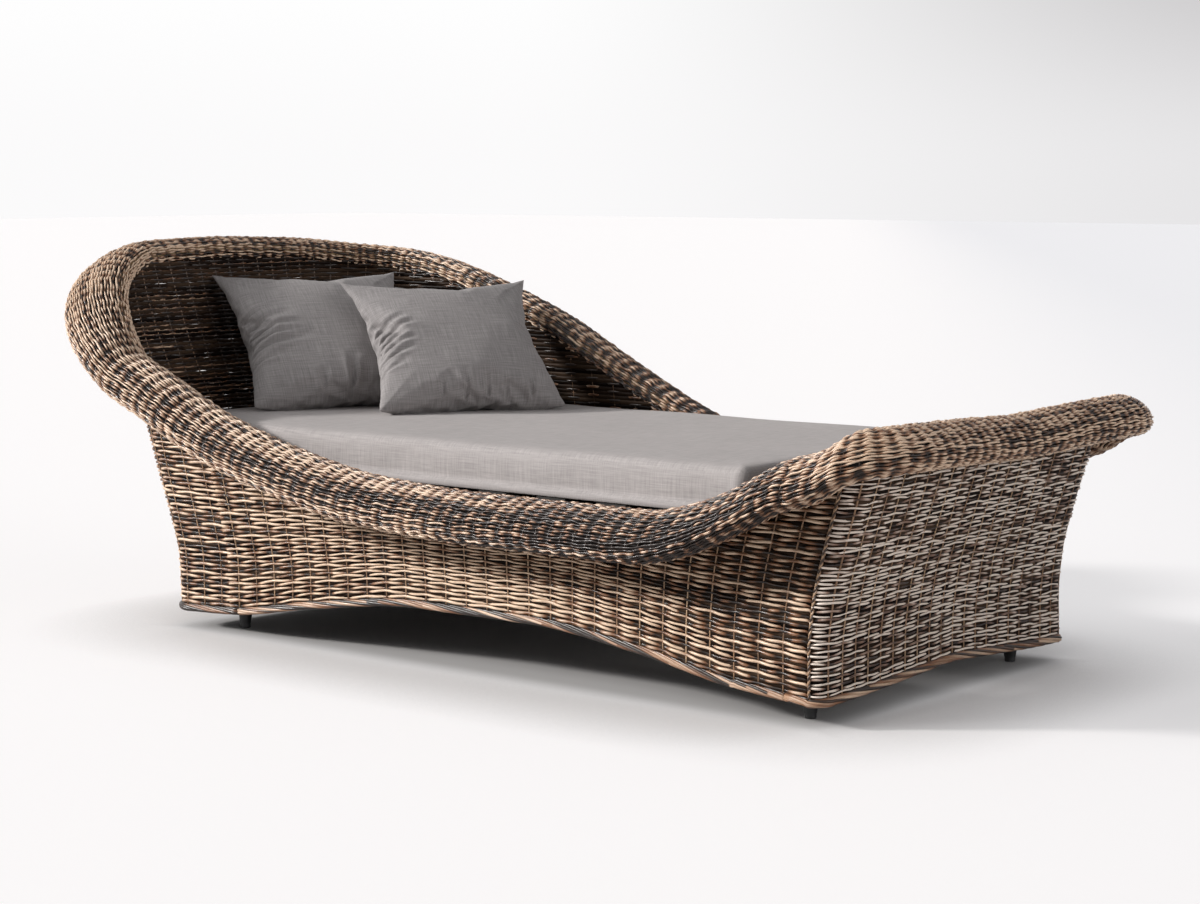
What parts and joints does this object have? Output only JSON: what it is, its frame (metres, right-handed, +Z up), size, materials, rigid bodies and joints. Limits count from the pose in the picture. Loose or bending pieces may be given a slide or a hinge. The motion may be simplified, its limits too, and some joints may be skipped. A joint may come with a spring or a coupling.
{
  "type": "sun lounger",
  "caption": "Woven rattan sun lounger with a high rolled head rim that sweeps down to low sides, a lift-out mattress and loose scatter cushions on small black feet.",
  "frame": {"origin": "centre of the lounger's outline, on the floor", "axes": "+X to the foot end, -Y to the side nearest in the picture (the sitter's right), +Z up"},
  "size_m": [2.3514, 1.1344, 0.845],
  "materials": {
    "rattan": "woven round rattan strands in mixed browns, satin",
    "cane_pole": "round rattan pole, raw",
    "steel_frame": "black powder coat on round tube",
    "slat_wood": "sanded and oiled",
    "zinc_steel": "zinc plated",
    "black_plastic": "fine matt",
    "mattress_linen": "mid-grey slubbed linen weave",
    "cushion_linen": "mid-grey slubbed linen weave",
    "foam": "soft filling, not seen",
    "zip_tape": "zip tape in the cover's grey"
  },
  "bodies": {
    "lounger": {"deck_rail_foot": "steel_frame", "deck_rail_head": "steel_frame", "deck_rail_left": "steel_frame", "deck_rail_right": "steel_frame", "foot_cup_left_foot": "black_plastic", "foot_cup_left_head": "black_plastic", "foot_cup_right_foot": "black_plastic", "foot_cup_right_head": "black_plastic", "foot_studs": "zinc_steel", "glide_left_foot": "black_plastic", "glide_left_head": "black_plastic", "glide_right_foot": "black_plastic", "glide_right_head": "black_plastic", "hem_foot": "rattan", "hem_head": "rattan", "hem_left": "rattan", "hem_right": "rattan", "leg_left_foot": "steel_frame", "leg_left_head": "steel_frame", "leg_plugs": "black_plastic", "leg_right_foot": "steel_frame", "leg_right_head": "steel_frame", "lower_rail_foot": "steel_frame", "lower_rail_head": "steel_frame", "lower_rail_left": "steel_frame", "lower_rail_right": "steel_frame", "rim_pole_foot": "cane_pole", "rim_pole_head": "cane_pole", "rim_pole_left": "cane_pole", "rim_pole_right": "cane_pole", "rim_roll_foot": "rattan", "rim_roll_head": "rattan", "rim_roll_left": "rattan", "rim_roll_right": "rattan", "slat_01": "slat_wood", "slat_02": "slat_wood", "slat_03": "slat_wood", "slat_04": "slat_wood", "slat_05": "slat_wood", "slat_06": "slat_wood", "slat_07": "slat_wood", "slat_08": "slat_wood", "slat_09": "slat_wood", "slat_10": "slat_wood", "slat_11": "slat_wood", "slat_12": "slat_wood", "slat_screws": "zinc_steel", "wall_foot": "rattan", "wall_head": "rattan", "wall_left": "rattan", "wall_right": "rattan", "wall_ties": "steel_frame"},
    "mattress": {"mattress_cover": "mattress_linen", "mattress_core": "foam", "mattress_zip": "zip_tape"},
    "rear_cushion": {"rear_cushion_cover": "cushion_linen", "rear_cushion_filling": "foam"},
    "front_cushion": {"front_cushion_cover": "cushion_linen", "front_cushion_filling": "foam"}
  },
  "joints": [
    {"name": "mattress_lift", "type": "slide", "parent": "lounger", "child": "mattress", "axis": [0, 0, 1], "range_m": [0, 0.3]},
    {"name": "rear_cushion_lift", "type": "slide", "parent": "mattress", "child": "rear_cushion", "axis": [0.5675, -0.3018, 0.766], "range_m": [0, 0.3]},
    {"name": "front_cushion_lift", "type": "slide", "parent": "rear_cushion", "child": "front_cushion", "axis": [0.551, -0.3311, 0.766], "range_m": [0, 0.3]}
  ]
}
